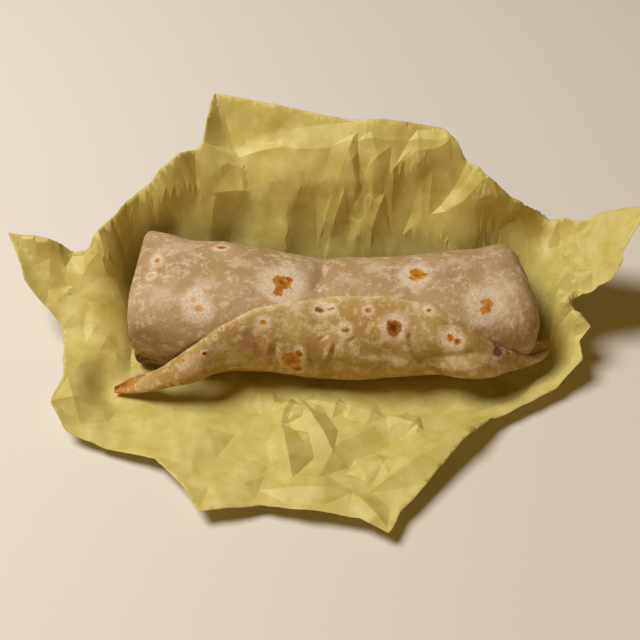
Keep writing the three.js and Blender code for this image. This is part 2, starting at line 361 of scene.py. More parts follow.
def read_rows(rows, x):
    """A smooth curve through the rows, read at one x."""
    at = np.abs([row[0] for row in rows])
    values = np.array([row[1:] for row in rows])
    rates = np.gradient(values, at, axis=0)
    i = int(np.clip(np.searchsorted(at, abs(x)) - 1, 0, len(at) - 2))
    span = at[i + 1] - at[i]
    t = (abs(x) - at[i]) / span
    start = values[i] * (2 * t**3 - 3 * t**2 + 1) + span * rates[i] * (t**3 - 2 * t**2 + t)
    end = values[i + 1] * (3 * t**2 - 2 * t**3) + span * rates[i + 1] * (t**3 - t**2)
    return start + end


def on_roll(x, along, inset):
    """A slice of the flap where the roll carries it."""
    stretch = math.hypot(1, roll_slope(x))
    skin = TORTILLA * 0.9 - inset
    edge = FLAP_TOP + 90 * abs((x - 5) / 86) ** 2.5 + 10 * smoothstep(-x, 0, 22)
    angle = np.radians(edge + (FLAP_TAIL - edge) * along)
    y, z = oval(angle, roll_depth(x) * stretch + skin, roll_height(x) + skin, 2.2, 2.55)
    return np.stack([roll_y(x) + y, roll_z(x) + z], axis=1)


def in_wing(x, along, inset):
    """A slice of a wing: a flat oval from its free edge round the fold and back."""
    rows = LEFT_WING if x < 0 else RIGHT_WING
    edge_y, edge_z, fold_y, fold_z, thick, start, end = read_rows(rows, x)
    reach = np.array([fold_y - edge_y, fold_z - edge_z]) / 2
    length = np.hypot(*reach)
    outward_side = np.array([reach[1], -reach[0]]) / length
    inset = np.minimum(inset, thick * 0.55)
    angle = np.radians(start + (end - start) * along)
    middle = np.array([edge_y, edge_z]) + reach
    lengthwise = np.cos(angle) * (1 - inset / length)
    sideways = np.sin(angle) * (thick - inset)
    return middle - lengthwise[:, None] * reach + sideways[:, None] * outward_side

# %% [markdown]
# One slice of the flap runs along its outer face, round the tail and back along its inner
# face. A tortilla's edge is thin and rounded, so the outer face comes down to it over the
# last few millimetres.

# %% The flap as a mesh
SLICE = 88  # points on each face of a slice
EDGE_ROUND = 2.6  # how far in from the free edge the tortilla thins out


def flap_ring(x, count=SLICE):
    along = np.linspace(0, 1, count) ** 1.25
    wave = 0.012 * noise(np.array([[x, 0, 0]]), 17, 5)[0] + 0.006 * noise([[x, 0, 0]], 6, 6)[0]
    along = along + wave * (1 - along)
    wing = smoothstep(abs(x), 46, 64)
    size = 50 * (1 - wing) + 14 * wing
    inward = 1 - np.minimum(along * size / EDGE_ROUND, 1)
    thin = 0.62 * TORTILLA * (1 - np.sqrt(np.clip(1 - inward**2, 0, 1)))
    layer = TORTILLA + SINK * (1 - wing)
    outer, inner = (
        (1 - wing) * on_roll(x, along, inset) + wing * in_wing(x, along, inset)
        for inset in (thin, np.full(count, layer))
    )
    inner = inner[::-1]
    outer[:, 1] = np.maximum(outer[:, 1], BED)
    inner[:, 1] = np.maximum(inner[:, 1], BED + layer * 0.5)
    ring = np.concatenate([outer, inner])
    return np.column_stack([np.full(len(ring), x), ring])


def make_flap(slices=320):
    left, right = LEFT_WING[-1][0], RIGHT_WING[-1][0]
    t = np.linspace(0, 1, slices)
    xs = left + (right - left) * (t - 0.035 * np.sin(2 * np.pi * t) / np.pi)
    flap = make_mesh("tortilla_flap", *loft([flap_ring(x) for x in xs]))
    # The "rim" field marks the band along the free edge that the material paints pale: partly dry
    # dough, partly a painted highlight on the lip and the tongue.
    near_edge = hump(np.arange(SLICE), 0, 5.5)
    ring = np.concatenate([near_edge, 0.4 * near_edge[::-1]])
    store(flap, "rim", [*np.tile(ring, slices), 0, 0])
    return flap


flap = make_flap()
print("flap", len(flap.data.polygons), "faces")

# %% [markdown]
# The roll and the flap are one tortilla, so the two closed forms are joined into one.
# Each keeps a mark of where it came from: the flap is thinner and yellower than the roll.
# The flap's yellow is partly its own and partly a painted reflection of the yellow paper.

# %% Join them
for layers in (roll, inner_layers):
    store(layers, "flap", np.zeros(len(layers.data.vertices)))
    store(layers, "rim", np.zeros(len(layers.data.vertices)))
store(flap, "flap", np.ones(len(flap.data.vertices)))


def join_solids(base, other):
    union = base.modifiers.new("union", "BOOLEAN")
    union.operation = "UNION"
    union.solver = "MANIFOLD"
    union.object = other
    bpy.context.view_layer.update()
    evaluated = base.evaluated_get(bpy.context.evaluated_depsgraph_get())
    joined = bpy.data.meshes.new_from_object(evaluated)
    base.modifiers.clear()
    base.data = joined
    bpy.data.objects.remove(other)
    base.name = "tortilla"
    return base


tortilla = join_solids(join_solids(roll, inner_layers), flap)
print("tortilla", len(tortilla.data.polygons), "faces", list(tortilla.data.attributes.keys()))

# %% [markdown]
# ## Lumps, folds and wrinkles
#
# The filling pushes the tortilla out in soft lumps, and where the flap is folded it
# wrinkles. All of it is movement along the surface's own normal: broad noise for the
# lumps, and a groove or a pleat along a short listed path for each wrinkle.

# %% Wrinkles
DEEPEN = 1.35  # the wrinkles are this many times as high as their rows say
# Each wrinkle: places in millimetres, half width, height (negative is a groove)
WRINKLES = [
    ([(-27, -27, 35), (-29, -28, 30), (-29, -28, 22), (-28, -27, 14)], 1.5, -1.5),
    ([(-25, -27, 34), (-24, -29, 26), (-22, -29, 17)], 1.6, 0.7),
    ([(-31, -27, 33), (-32, -28, 26), (-31, -28, 17)], 1.8, 0.6),
    ([(-16, -27, 35), (-12, -29, 31), (-10, -30, 26), (-9, -30, 21)], 0.9, -0.7),
    ([(-14, -27, 34), (-14, -29, 30), (-12, -30, 24)], 1.4, 0.5),
    ([(-1, -28, 35), (-2, -29, 31), (-4, -31, 25)], 1, 0.7),
    ([(1, -28, 35), (0, -29, 31), (-2, -31, 25)], 1, -0.8),
    ([(-7, -27, 36), (-5, -26, 37), (-3, -25, 38)], 0.8, -0.5),
    ([(7, -28, 36), (11, -26, 38)], 0.8, -0.5),
    ([(25, -12, 46), (28, -15, 45), (32, -19, 43), (37, -23, 40)], 0.7, -0.3),
    ([(53, -20, 42), (57, -23, 40), (63, -26, 38)], 0.7, -0.7),
    ([(34, -23, 40), (35, -27, 35), (38, -29, 28)], 1.6, 0.6),
    ([(37, -23, 40), (38, -27, 35), (41, -29, 29)], 1.6, -0.45),
    ([(40, -29, 27), (52, -29, 27), (66, -31, 32), (80, -27, 29)], 1.6, -0.7),
    ([(42, -29, 20), (57, -32, 22), (71, -33, 26), (83, -28, 24)], 3.6, 1.3),
    ([(28, -30, 23), (33, -30, 23), (38, -30, 22)], 3.2, 1.8),
    ([(42, -30, 27), (43, -30, 22)], 1.4, -1),
    ([(-1, -31, 25), (13, -31, 24), (27, -30, 22)], 2.2, -0.8),
    ([(12, -31, 29), (20, -31, 27), (29, -30, 26)], 1.6, 0.8),
    ([(-52, -29, 20), (-43, -27, 18), (-33, -27, 17)], 1, -0.9),
    ([(-54, -29, 24), (-46, -28, 22), (-36, -27, 21)], 2, 0.7),
    ([(-4, 23, 40), (-5, 9, 44), (-8, -2, 45)], 2.2, -0.7),
    ([(59, -12, 44), (66, -13, 43), (72, -16, 40)], 1.2, -0.4),
    ([(84, 16, 44), (88, 14, 42), (91, 8, 38)], 1.8, -1),
    ([(-80, 22, 48), (-60, 26, 48), (-44, 25, 48)], 1.6, -0.4),
    ([(-96, 5, 40), (-92, -10, 38), (-93, -18, 30)], 1.5, -0.5),
    ([(86, 2, 43), (90, -8, 38), (93, -17, 29)], 1.5, 0.45),
    ([(91, 6, 41), (96, -4, 34), (98, -14, 25)], 1.5, 0.5),
    ([(83, -8, 42), (87, -15, 36), (89, -21, 28)], 1.3, 0.35),
    ([(94, 20, 38), (99, 10, 33), (101, 0, 24)], 1.6, 0.5),
]


def on_surface(path, skin):
    """The path's places moved to the nearest places of the surface."""
    return [np.array(skin.find_nearest(Vector(place) * MM)[0]) / MM for place in path]


def wrinkle_height(points, skin):
    height = np.zeros(len(points))
    for path, width, rise in WRINKLES:
        d, along = distance_to_path(points, on_surface(path, skin))
        ends = smoothstep(along, -0.02, 0.25) * smoothstep(1 - along, -0.02, 0.25)
        height += DEEPEN * rise * hump(d, 0, width) * (0.3 + 0.7 * ends)
    return height


def soften(points, thing):
    """Moves the surface along its normals by lumps and wrinkles."""
    normals = normals_of(thing)
    skin = BVHTree.FromObject(thing, bpy.context.evaluated_depsgraph_get())
    lumps = 0.8 * noise(points, 34, 11) + 0.4 * noise(points, 15, 12) + 0.22 * noise(points, 6, 13)
    lumps += 0.08 * noise(points, 2.6, 14)
    raised = smoothstep(points[:, 2], BED + 0.4, BED + 6)
    tip = 1 - 0.8 * smoothstep(np.abs(points[:, 0]), 84, 98) * (points[:, 2] < 16)
    moved = points + normals * ((lumps + wrinkle_height(points, skin)) * raised * tip)[:, None]
    moved[:, 2] = np.maximum(moved[:, 2], BED)
    return moved


move_points(tortilla, soften(points_of(tortilla), tortilla))

# %% [markdown]
# ## Toasted spots
#
# A flour tortilla is baked on a hot plate. Where it touches the plate it browns in spots,
# and round many of them the dry flour stays as a pale disc. Each spot is a place on the
# surface with its size, stored on the mesh as a soft field, and the material breaks its
# edge up with finer noise. One dark spot under the roll's left end is painted shade in the
# recess there, and two floury patches on the right tongue are partly painted light.

# %% Places of the spots
# x, y, z of the middle; half length; half width; how dark from 0 to 1; pale disc's radius
SPOTS = [
    (-6, -14, 44, 2.6, 1.5, 0.55, 6), (-1, -14, 45, 2.4, 0.9, 0.45, 4),
    (17, -15, 45, 1.7, 1.4, 0.4, 4), (6, -24, 41, 2.4, 1.8, 0.5, 5),
    (29, -22, 41, 4, 4, 0.7, 9), (46, -15, 45, 1.6, 1.3, 0.5, 4),
    (56, -26, 37, 2.8, 2.1, 0.6, 7), (59, -27, 36, 2.5, 1.9, 0.55, 6),
    (74, -9, 43, 3.6, 2.9, 0.35, 13), (73, -12, 42, 3.2, 2.8, 0.4, 11),
    (85, -25, 25, 1.6, 0.9, 0.8, 0), (-107, -30, 5, 15, 7, 0.36, 0),
    # the spot at x -91, y -17 is painted shade that darkens the recess under the roll's left end,
    # not a toasted spot
    (-91, -17, 5, 13, 8, 1.1, 0), (-20, -30, 25, 4.8, 5.2, 0.42, 8.5),
    (-16, -29, 30, 2.4, 2.4, 0.6, 5), (-17, -30, 19, 3.2, 2.8, 0.45, 5),
    (-33, -21, 43, 1.9, 1.4, 0.4, 5), (-53, -23, 41, 1.1, 0.8, 0.35, 2),
    (-56, -26, 38, 0.9, 0.8, 0.35, 2), (-61, -32, 33, 1.5, 1.1, 0.7, 2.6),
    (-71, -32, 28, 1.8, 1.1, 0.35, 2.2), (-90, -34, 12, 3, 0.7, 0.12, 0),
    (34, -30, 20, 4, 1.6, 0.45, 0), (-24, 0, 48, 5.4, 4.4, 0.5, 15),
    (-26, -6, 48, 2.8, 2.8, 0.5, 8), (-21, 2, 48, 2.4, 2.4, 0.6, 8),
    (41, 7, 47, 4.6, 4.8, 0.42, 12), (-86, 14, 49, 2, 2.1, 0.5, 5),
    (-88, 4, 49, 2.3, 1.5, 0.25, 4), (-55, 23, 49, 3.2, 2.4, 0.5, 5),
    (-68, 33, 44, 2.6, 1.2, 0.3, 2), (-67, -11, 48, 1.6, 1.4, 0.22, 8),
    (-64, -15, 46, 2.3, 1.6, 0.28, 9), (-98, -18, 28, 1.6, 2.6, 0.7, 0),
    (-23, 14, 48, 1.8, 1.3, 0.2, 3), (67, -35, 23, 0.8, 0.8, 0.4, 3),
]
# x, y, z; radius of a floury patch without a spot
FLOUR_AND_PAINTED_LIGHT = [
    (-48, -28, 25, 4.5), (14, -31, 28, 2), (19, -31, 27, 3), (31, -30, 24, 6), (37, -30, 22, 4),
    (57, -31, 27, 4), (62, -32, 27, 3), (-75, 22, 48, 8), (-60, -2, 50, 6), (-80, -8, 47, 7),
    (-45, 10, 50, 5), (-66, -33, 26, 7), (-58, -33, 30, 6), (8, 4, 46, 6), (20, 14, 45, 6),
    # the last two patches, on the right tongue, are partly flour and partly painted light that
    # brightens the tongue where the roll shades it
    (62, 16, 45, 8), (84, 0, 40, 7), (103, -13, 15, 12), (99, -17, 14, 9),
]
# x, y, z; half length; half width of a stain
STAINS = [(-41, -27, 35, 7, 7), (-37, -28, 28, 6, 4), (79, -27, 29, 4.2, 3.4)]


print("spots", len(SPOTS), "floury patches", len(FLOUR_AND_PAINTED_LIGHT), "stains", len(STAINS))

# %% Spots as fields on the mesh
def patch_distance(points, skin, place, long=1, short=1):
    """Way from the surface's nearest place to each point, and its share of an oval's radii."""
    way = points - on_surface([place], skin)[0]
    return way, np.hypot(way[:, 0] / long, np.hypot(way[:, 1], way[:, 2]) / short)


def spot_fields(points, skin):
    """How toasted, how dark and how floury each point is; one spot is painted shade, two floury
    patches partly painted light.
    """
    toast_and_painted_shade = np.full(len(points), -1.0)
    dark, flour_and_painted_light = np.zeros((2, len(points)))
    wobble = 0.3 * noise(points, 3.6, 21) + 0.2 * noise(points, 1.8, 22)
    for *place, long, short, strength, disc in SPOTS:
        way, d = patch_distance(points, skin, place, long, short)
        field = 1 - d + wobble
        closer = field > toast_and_painted_shade
        toast_and_painted_shade = np.where(closer, field, toast_and_painted_shade)
        dark = np.where(closer, strength, dark)
        if disc:
            reach = np.linalg.norm(way, axis=1) / disc + 0.5 * wobble
            flour_and_painted_light = np.maximum(flour_and_painted_light, 1 - smoothstep(reach, 0.55, 1.05))
    for *place, size in FLOUR_AND_PAINTED_LIGHT:
        way, _ = patch_distance(points, skin, place)
        reach = np.linalg.norm(way * (0.7, 1, 1), axis=1) / size + 1.4 * wobble
        flour_and_painted_light = np.maximum(flour_and_painted_light, 0.55 * (1 - smoothstep(reach, 0.2, 1.1)))
    return toast_and_painted_shade, dark, flour_and_painted_light


def stain_fields(points, skin):
    """Pink and purple places where the filling shows through; the last one is darkest."""
    stain = np.zeros(len(points))
    for k, (*place, long, short) in enumerate(STAINS):
        _, d = patch_distance(points, skin, place, long, short)
        d += 0.4 * noise(points, 4.5, 23) + 0.3 * noise(points, 2.2, 24)
        strength = 2 if k == len(STAINS) - 1 else 1
        stain = np.maximum(stain, strength * (1 - smoothstep(d, 0.3, 1.2)))
    return stain


surface = points_of(tortilla)
skin = BVHTree.FromObject(tortilla, bpy.context.evaluated_depsgraph_get())
toast_and_painted_shade, dark, flour_and_painted_light = spot_fields(surface, skin)
stain = stain_fields(surface, skin)
for name, values in (("toast_and_painted_shade", toast_and_painted_shade), ("dark", dark), ("flour_and_painted_light", flour_and_painted_light), ("stain", stain)):
    store(tortilla, name, values)
print("toasted share", round(float((toast_and_painted_shade > 0).mean()), 3))

# %% [markdown]
# ## Materials
#
# Each material is a small tree of shader nodes. One helper adds a node with its settings
# and links, and one turns the colours from the usual hex notation into the linear values
# that shaders use.

# %% Helpers for materials
def linear(hex_colour):
    channels = [int(hex_colour[i : i + 2], 16) / 255 for i in (1, 3, 5)]
    curve = [c / 12.92 if c <= 0.04045 else ((c + 0.055) / 1.055) ** 2.4 for c in channels]
    return (*curve, 1.0)


def add(tree, kind, inputs=None, **settings):
    """Adds a node. An input is a value, a socket, or a node whose first result feeds it."""
    node = tree.nodes.new(kind)
    for name, value in settings.items():
        setattr(node, name, value)
    sockets = [socket for socket in node.inputs if socket.enabled]
    for key, value in (inputs or {}).items():
        socket = sockets[key] if isinstance(key, int) else node.inputs[key]
        if isinstance(value, bpy.types.Node):
            value = next(result for result in value.outputs if result.enabled)
        if isinstance(value, bpy.types.NodeSocket):
            tree.links.new(value, socket)
        else:
            socket.default_value = value
    return node


def new_material(name):
    material = bpy.data.materials.new(name)
    material.use_nodes = True
    material.node_tree.nodes.clear()
    return material, material.node_tree


PRINCIPLED = "ShaderNodeBsdfPrincipled"
SURFACE = "ShaderNodeOutputMaterial"
MATHS = "ShaderNodeMath"
MIX = "ShaderNodeMix"
NOISE = "ShaderNodeTexNoise"
RANGE = "ShaderNodeMapRange"
FIELD = "ShaderNodeAttribute"
PER_MM = 1 / MM  # a noise of scale PER_MM / 6 has blotches about 6 mm across

# %% [markdown]
# ### Baked flour tortilla
#
# The tortilla is soft, dry dough: matt, slightly see-through, grey-beige where it is thin
# and floury white where it is dusted. Its surface has fine pores and small blisters.

# %% Tortilla material: dough and flour
def dough_colour(tree, place, blotch, grain):
    """Dough, yellower on the thin flap, partly as painted reflection of the paper, and pale at its
    free edge, partly as painted highlight, under a veil of flour.
    """
    broad = add(tree, NOISE, {"Vector": place, "Scale": PER_MM / 24, "Detail": 3})
    tone = add(tree, RANGE, {"Value": broad, "From Min": 0.38, "From Max": 0.62})
    # The flap's yellower dough is partly a painted reflection of the yellow paper under it.
    thick, thin = (
        add(tree, MIX, {0: tone, 1: linear(low), 2: linear(high)}, data_type="RGBA")
        for low, high in (("#a3895c", "#b19a72"), ("#a38344", "#b3985c"))
    )
    on_flap = add(tree, FIELD, attribute_name="flap")
    dough = add(tree, MIX, {0: on_flap, 1: thick, 2: thin}, data_type="RGBA")
    # The pale band along the free edge is partly dry dough and partly a painted highlight where the
    # lip catches the light.
    rim = add(tree, FIELD, attribute_name="rim")
    pale = add(tree, MATHS, {0: rim, 1: 0.6}, operation="MULTIPLY")
    dough = add(tree, MIX, {0: pale, 1: dough, 2: linear("#d6bd88")}, data_type="RGBA")

    patch = add(tree, NOISE, {"Vector": place, "Scale": PER_MM / 6, "Detail": 5, "Roughness": 0.7})
    veil = add(tree, MATHS, {0: blotch, 1: 0.7, 2: patch}, operation="MULTIPLY_ADD")
    veil = add(
        tree, RANGE, {"Value": veil, "From Min": 0.85, "From Max": 0.99, "To Max": 0.58},
        interpolation_type="SMOOTHSTEP",
    )
    # the floury field also holds painted light on the right tongue
    disc = add(tree, FIELD, attribute_name="flour_and_painted_light")
    disc = add(tree, MATHS, {0: disc, 1: 0.8}, operation="MULTIPLY")
    veil = add(tree, MATHS, {0: veil, 1: disc}, operation="MAXIMUM")
    crackle = add(tree, MATHS, {0: blotch, 1: 0.5}, operation="SUBTRACT")
    crackle = add(tree, MATHS, {0: crackle}, operation="ABSOLUTE")
    crackle = add(tree, RANGE, {"Value": crackle, "From Max": 0.09, "To Min": 1.1, "To Max": 0.62})
    grainy = add(tree, RANGE, {"Value": grain, "From Min": 0.38, "From Max": 0.56, "To Min": 0.65})
    floury = add(tree, MATHS, {0: veil, 1: grainy}, operation="MULTIPLY")
    floury = add(tree, MATHS, {0: floury, 1: crackle}, operation="MULTIPLY", use_clamp=True)
    dusted = add(tree, MIX, {0: floury, 1: dough, 2: linear("#e0d5c2")}, data_type="RGBA")
    stain = add(tree, FIELD, attribute_name="stain")
    stained = add(tree, RANGE, {"Value": stain, "From Max": 0.8, "To Max": 0.6})
    dusted = add(tree, MIX, {0: stained, 1: dusted, 2: linear("#a06a58")}, data_type="RGBA")
    stained = add(tree, RANGE, {"Value": stain, "From Min": 1.0, "From Max": 1.3, "To Max": 0.8})
    return add(tree, MIX, {0: stained, 1: dusted, 2: linear("#5c3a3a")}, data_type="RGBA")

# %% Tortilla material: toasted spots
BROWNING = [(0.05, "#c89a50"), (0.28, "#be8834"), (0.52, "#a0621e"), (0.95, "#54290c")]


def toasted_colour(tree, dough, ragged, blotch):
    """Orange at the rim of a toasted spot, brown where it touched the plate longest, and dark brown
    for the painted shade under the roll's left end.
    """
    strength = add(tree, FIELD, attribute_name="dark")
    toasted = add(
        tree, RANGE, {"Value": ragged, "From Min": -0.04, "From Max": 0.14},
        interpolation_type="SMOOTHSTEP",
    )
    depth = add(tree, MATHS, {0: ragged, 1: 0.5}, operation="ADD")
    depth = add(tree, MATHS, {0: depth, 1: strength}, operation="MULTIPLY")
    uneven = add(tree, MATHS, {0: blotch, 1: 0.5}, operation="SUBTRACT")
    mottled = add(tree, MATHS, {0: uneven, 1: 0.9, 2: depth}, operation="MULTIPLY_ADD")
    browning = add(tree, "ShaderNodeValToRGB", {"Fac": mottled})
    elements = browning.color_ramp.elements
    while len(elements) < len(BROWNING):
        elements.new(0.5)
    for element, (position, colour) in zip(elements, BROWNING):
        element.position = position
        element.color = linear(colour)
    faint = add(tree, RANGE, {"Value": strength, "From Min": 0.1, "From Max": 0.4, "To Min": 0.4})
    amount = add(tree, MATHS, {0: toasted, 1: faint}, operation="MULTIPLY")
    colour = add(tree, MIX, {0: amount, 1: dough, 2: browning}, data_type="RGBA")
    return colour, toasted

# %% Tortilla material: the whole
def tortilla_material():
    material, tree = new_material("baked_flour_tortilla")
    place = add(tree, "ShaderNodeTexCoord").outputs["Object"]
    blotch, grain = (
        add(tree, NOISE, {"Vector": place, "Scale": PER_MM / mm, "Detail": fine, "Roughness": 0.6})
        for mm, fine in ((2.2, 3), (0.8, 2))
    )
    dough = dough_colour(tree, place, blotch, grain)
    field = add(tree, FIELD, attribute_name="toast_and_painted_shade")
    ragged = add(tree, MATHS, {0: grain, 1: 0.2, 2: field}, operation="MULTIPLY_ADD")
    ragged = add(tree, MATHS, {0: blotch, 1: 0.45, 2: ragged}, operation="MULTIPLY_ADD")
    ragged = add(tree, MATHS, {0: ragged, 1: 0.36}, operation="SUBTRACT")
    colour, toasted = toasted_colour(tree, dough, ragged, blotch)
    height = add(tree, MATHS, {0: grain, 1: 0.45, 2: blotch}, operation="MULTIPLY_ADD")
    bump = add(tree, "ShaderNodeBump", {"Height": height, "Strength": 0.6, "Distance": 0.6 * MM})
    rough = add(tree, RANGE, {"Value": toasted, "To Min": 0.72, "To Max": 0.5})
    looks = {"Base Color": colour, "Roughness": rough, "Normal": bump}
    shader = add(tree, PRINCIPLED, {**looks, "IOR": 1.4, "Specular IOR Level": 0.35})
    add(tree, SURFACE, {"Surface": shader})
    return material


tortilla.data.materials.clear()
tortilla.data.materials.append(tortilla_material())
tortilla.data.shade_smooth()
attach(tortilla, "root")
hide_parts("burrito")

# %% [markdown]
# ## The paper wrapper
#
# A sheet of thin deli paper was folded tightly round the burrito and pushed open again.
# It is flat under the burrito, stands up behind it and at both sides, and keeps every fold.
# It rises along spokes that run from the flat patch under the burrito to its edge, whose
# corners are given one by one.

# %% Corners of the edge, size of the flat patch
FOOT_X, FOOT_Y, FOOT_POWER = 102.0, 43.0, 4.0
# the burrito's two back corners push the paper out: direction in degrees, share
CORNERS = [(155, 0.2), (25, 0.13)]

# x, y, z of the corners, from the right wing over the back and round
RIM = [
    (157, 39, 62), (140, 49, 48), (134, 52, 42), (129, 52, 44), (113, 58, 33), (110, 60, 37),
    (98, 54, 48), (86, 56, 54), (79, 57, 59), (67, 68, 69), (55, 77, 78), (16, 80, 82),
    (-22, 88, 84), (-60, 95, 86), (-64, 83, 78), (-66, 75, 69), (-81, 63, 67), (-92, 57, 61),
    (-105, 50, 54), (-122, 33, 42), (-137, 36, 38), (-142, 33, 46), (-163, 36, 47),
    (-156, 22, 38), (-154, 16, 32), (-144, 8, 22), (-136, 1, 14), (-134, -8, 13), (-131, -32, 15),
    (-135, -49, 17), (-127, -60, 8), (-108, -68, 5), (-83, -76, 8), (-69, -93, 9), (-61, -106, 9),
    (-33, -101, 6), (-14, -105, 8), (11, -109, 7), (25, -117, 7), (31, -105, 8), (42, -92, 9),
    (60, -70, 8), (76, -53, 6), (92, -44, 6), (110, -33, 7), (123, -21, 14), (122, -12, 17),
    (128, -7, 23), (118, 4, 19), (124, 7, 28), (138, 10, 38), (143, 15, 46), (143, 20, 48),
]

# %% Points on the edge
def along_rim(count):
    """Points along the torn, slightly wavy edge."""
    corners = np.array(RIM + RIM[:1], float)
    steps = np.linalg.norm(np.diff(corners, axis=0), axis=1)
    length = np.concatenate([[0], np.cumsum(steps)])
    at = np.linspace(0, length[-1], count, endpoint=False)
    rim = np.stack([np.interp(at, length, corners[:, k]) for k in range(3)], axis=1)
    wavy = np.stack([noise(rim, 7, 31 + k) + 0.5 * noise(rim, 3, 34 + k) for k in range(3)], axis=1)
    return rim + wavy * (0.35, 0.35, 0.6)


rim = along_rim(640)
rim_turn = np.arctan2(rim[:, 1], rim[:, 0])
rim_order = np.argsort(rim_turn)
rim_reach = np.hypot(rim[:, 0], rim[:, 1])
print("sheet edge", len(rim), "points")

# %% Spokes from the flat patch to the edge
def foot_reach(turn):
    """How far the flat patch under the burrito reaches in a direction."""
    c, s = np.abs(np.cos(turn)) / FOOT_X, np.abs(np.sin(turn)) / FOOT_Y
    pushed = 1 + sum(
        share * hump(np.mod(turn, 2 * np.pi), math.radians(at), 0.125) for at, share in CORNERS
    )
    return (c**FOOT_POWER + s**FOOT_POWER) ** (-1 / FOOT_POWER) * pushed


def margin(points):
    """How far inside the sheet's edge each point is, measured along its spoke."""
    turn = np.arctan2(points[:, 1], points[:, 0])
    far = np.interp(turn, rim_turn[rim_order], rim_reach[rim_order], period=2 * np.pi)
    return far - np.hypot(points[:, 0], points[:, 1])


def outward(x, y):
    """0 at the edge of the flat patch, 1 at the sheet's edge; and the height the edge pulls to."""
    points = np.column_stack([x, y])
    turn = np.arctan2(y, x)
    outside = np.maximum(0, np.hypot(x, y) - foot_reach(turn))
    height, nearest = np.zeros(len(points)), np.zeros(len(points))
    for start in range(0, len(points), 2000):
        part = slice(start, start + 2000)
        gap = np.linalg.norm(points[part, None, :] - rim[None, :, :2], axis=2)
        pull = 1 / (gap + 1.5) ** 3
        height[part] = pull @ rim[:, 2] / pull.sum(axis=1)
        nearest[part] = gap.min(axis=1)
    return outside / (outside + nearest), height


# %% [markdown]
# ### Creases
#
# A crease in paper is a straight ridge or valley with flat slopes on both sides. Each row
# here is one such line with its height and the widths of its two slopes.

# %% Creases
# start x, y; end x, y; rise; widths of the slopes to the left and right of that line
CREASES = [
    # the hem and the left of the back wall
    (-66, 75, 68, 71, 5, 8, 16), (-70, 72, -90, 50, 5, 9, 14),
    (-108, 48, -98, 40, 4, 8, 10), (-90, 51, -60, 61, -4, 10, 14),
    # a bundle of folds near the middle of the back wall
    (13, 76, -8, 50, 5, 9, 8), (31, 71, 4, 59, 5, 7, 9), (21, 68, 7, 57, -5, 7, 7),
    (7, 62, -3, 48, 4, 7, 6), (-62, 61, -7, 69, 4, 12, 8),
    # a bundle on the right of the back wall
    (69, 71, 33, 67, 6, 9, 8), (70, 67, 50, 55, -6.5, 9, 9), (73, 65, 77, 53, 4.5, 7, 9),
    (31, 66, 46, 55, -4.5, 8, 8), (27, 61, 18, 48, 5.5, 8, 8), (48, 56, 90, 51, 5, 7, 8),
    (79, 61, 88, 48, 4.5, 8, 8),
    # the right wing and its lip
    (137, 51, 112, 45, -7.5, 9, 9), (130, 38, 118, 32, -3, 8, 8),
    (157, 38, 118, 30, 3, 12, 12), (144, 15, 112, 24, 8, 10, 8), (130, 18, 114, 2, 5, 6, 8),
    (128, -8, 106, 11, 5.5, 9, 10), (126, -5, 106, -6, 2.5, 8, 8),
    (114, 21, 109, -3, 10, 11, 6), (123, 30, 112, 16, 5, 8, 8),
    # the left wing
    (-139, 35, -118, 31, -7, 8, 9), (-122, 32, -104, 38, 4, 8, 8),
    (-142, 27, -143, 16, 1.5, 8, 9), (-143, 17, -125, 1, 2.4, 10, 10),
    (-125, 1, -108, -6, 2.2, 9, 8), (-134, 14, -110, 29, -2, 9, 9),
    (-134, -48, -102, -37, 4.5, 14, 12), (-109, -8, -103, -36, 2.5, 9, 9),
    # the flat front on the left
    (-123, -57, -92, -60, 1.5, 9, 8), (-84, -74, -47, -60, 2.5, 10, 10),
    (-68, -90, -30, -78, 2.2, 10, 10), (-82, -38, -49, -56, 1.2, 10, 12),
    (-61, -104, -32, -84, 2.5, 9, 9),
    # a star of folds in front of the middle
    (-20, -34, -25, -52, 5, 9, 7), (-25, -52, -19, -86, 5.5, 12, 9),
    (-17, -34, 0, -70, 4.5, 8, 11), (-14, -36, 8, -42, 3.2, 7, 7),
    (-24, -36, -40, -38, 2.5, 7, 7),
    # the flat front on the right
    (42, -52, -7, -86, -4.5, 12, 12), (2, -38, 26, -46, 2.5, 8, 8), (26, -44, 44, -56, 3, 8, 9),
    (82, -49, 16, -94, 6.5, 12, 14), (30, -74, 6, -82, 3, 9, 9), (-34, -92, 9, -95, 3, 10, 8),
    (9, -95, 24, -114, 2, 8, 8),
]


RUN_OUT = 0.3  # the share of a crease's length over which it runs out at each end


def crease_height(x, y):
    """Adds up the creases: each is a ridge or valley with flat sides that runs out at its ends."""
    height = np.zeros(len(x))
    for x0, y0, x1, y1, rise, left, right in CREASES:
        dx, dy = x1 - x0, y1 - y0
        length = math.hypot(dx, dy)
        along = ((x - x0) * dx + (y - y0) * dy) / length**2
        across = ((y - y0) * dx - (x - x0) * dy) / length
        full = np.clip(np.minimum(along, 1 - along) / RUN_OUT, 0, 1)
        slope = np.abs(across) / np.where(across > 0, left, right)
        height += rise * np.maximum(0, full - slope)
    return height


print("creases", len(CREASES))

# %% [markdown]
# ### Crumples
#
# Between the big creases the sheet is crumpled into flat facets. Scattered points with
# random heights, joined into triangles, give such facets. Two nets of them are laid over
# each other, one of big facets and one of small ones.

# %% Crumpled facets
def scattered(random, reach_x, reach_y, spacing, stray):
    """Points in staggered rows, each moved at random by up to `stray` of the spacing."""
    columns = np.arange(-reach_x, reach_x, spacing)
    rows = np.arange(-reach_y, reach_y, spacing * 0.87)
    grid = np.array([(c + (j % 2) * spacing / 2, r) for j, r in enumerate(rows) for c in columns])
    return grid + random.uniform(-stray, stray, grid.shape) * spacing


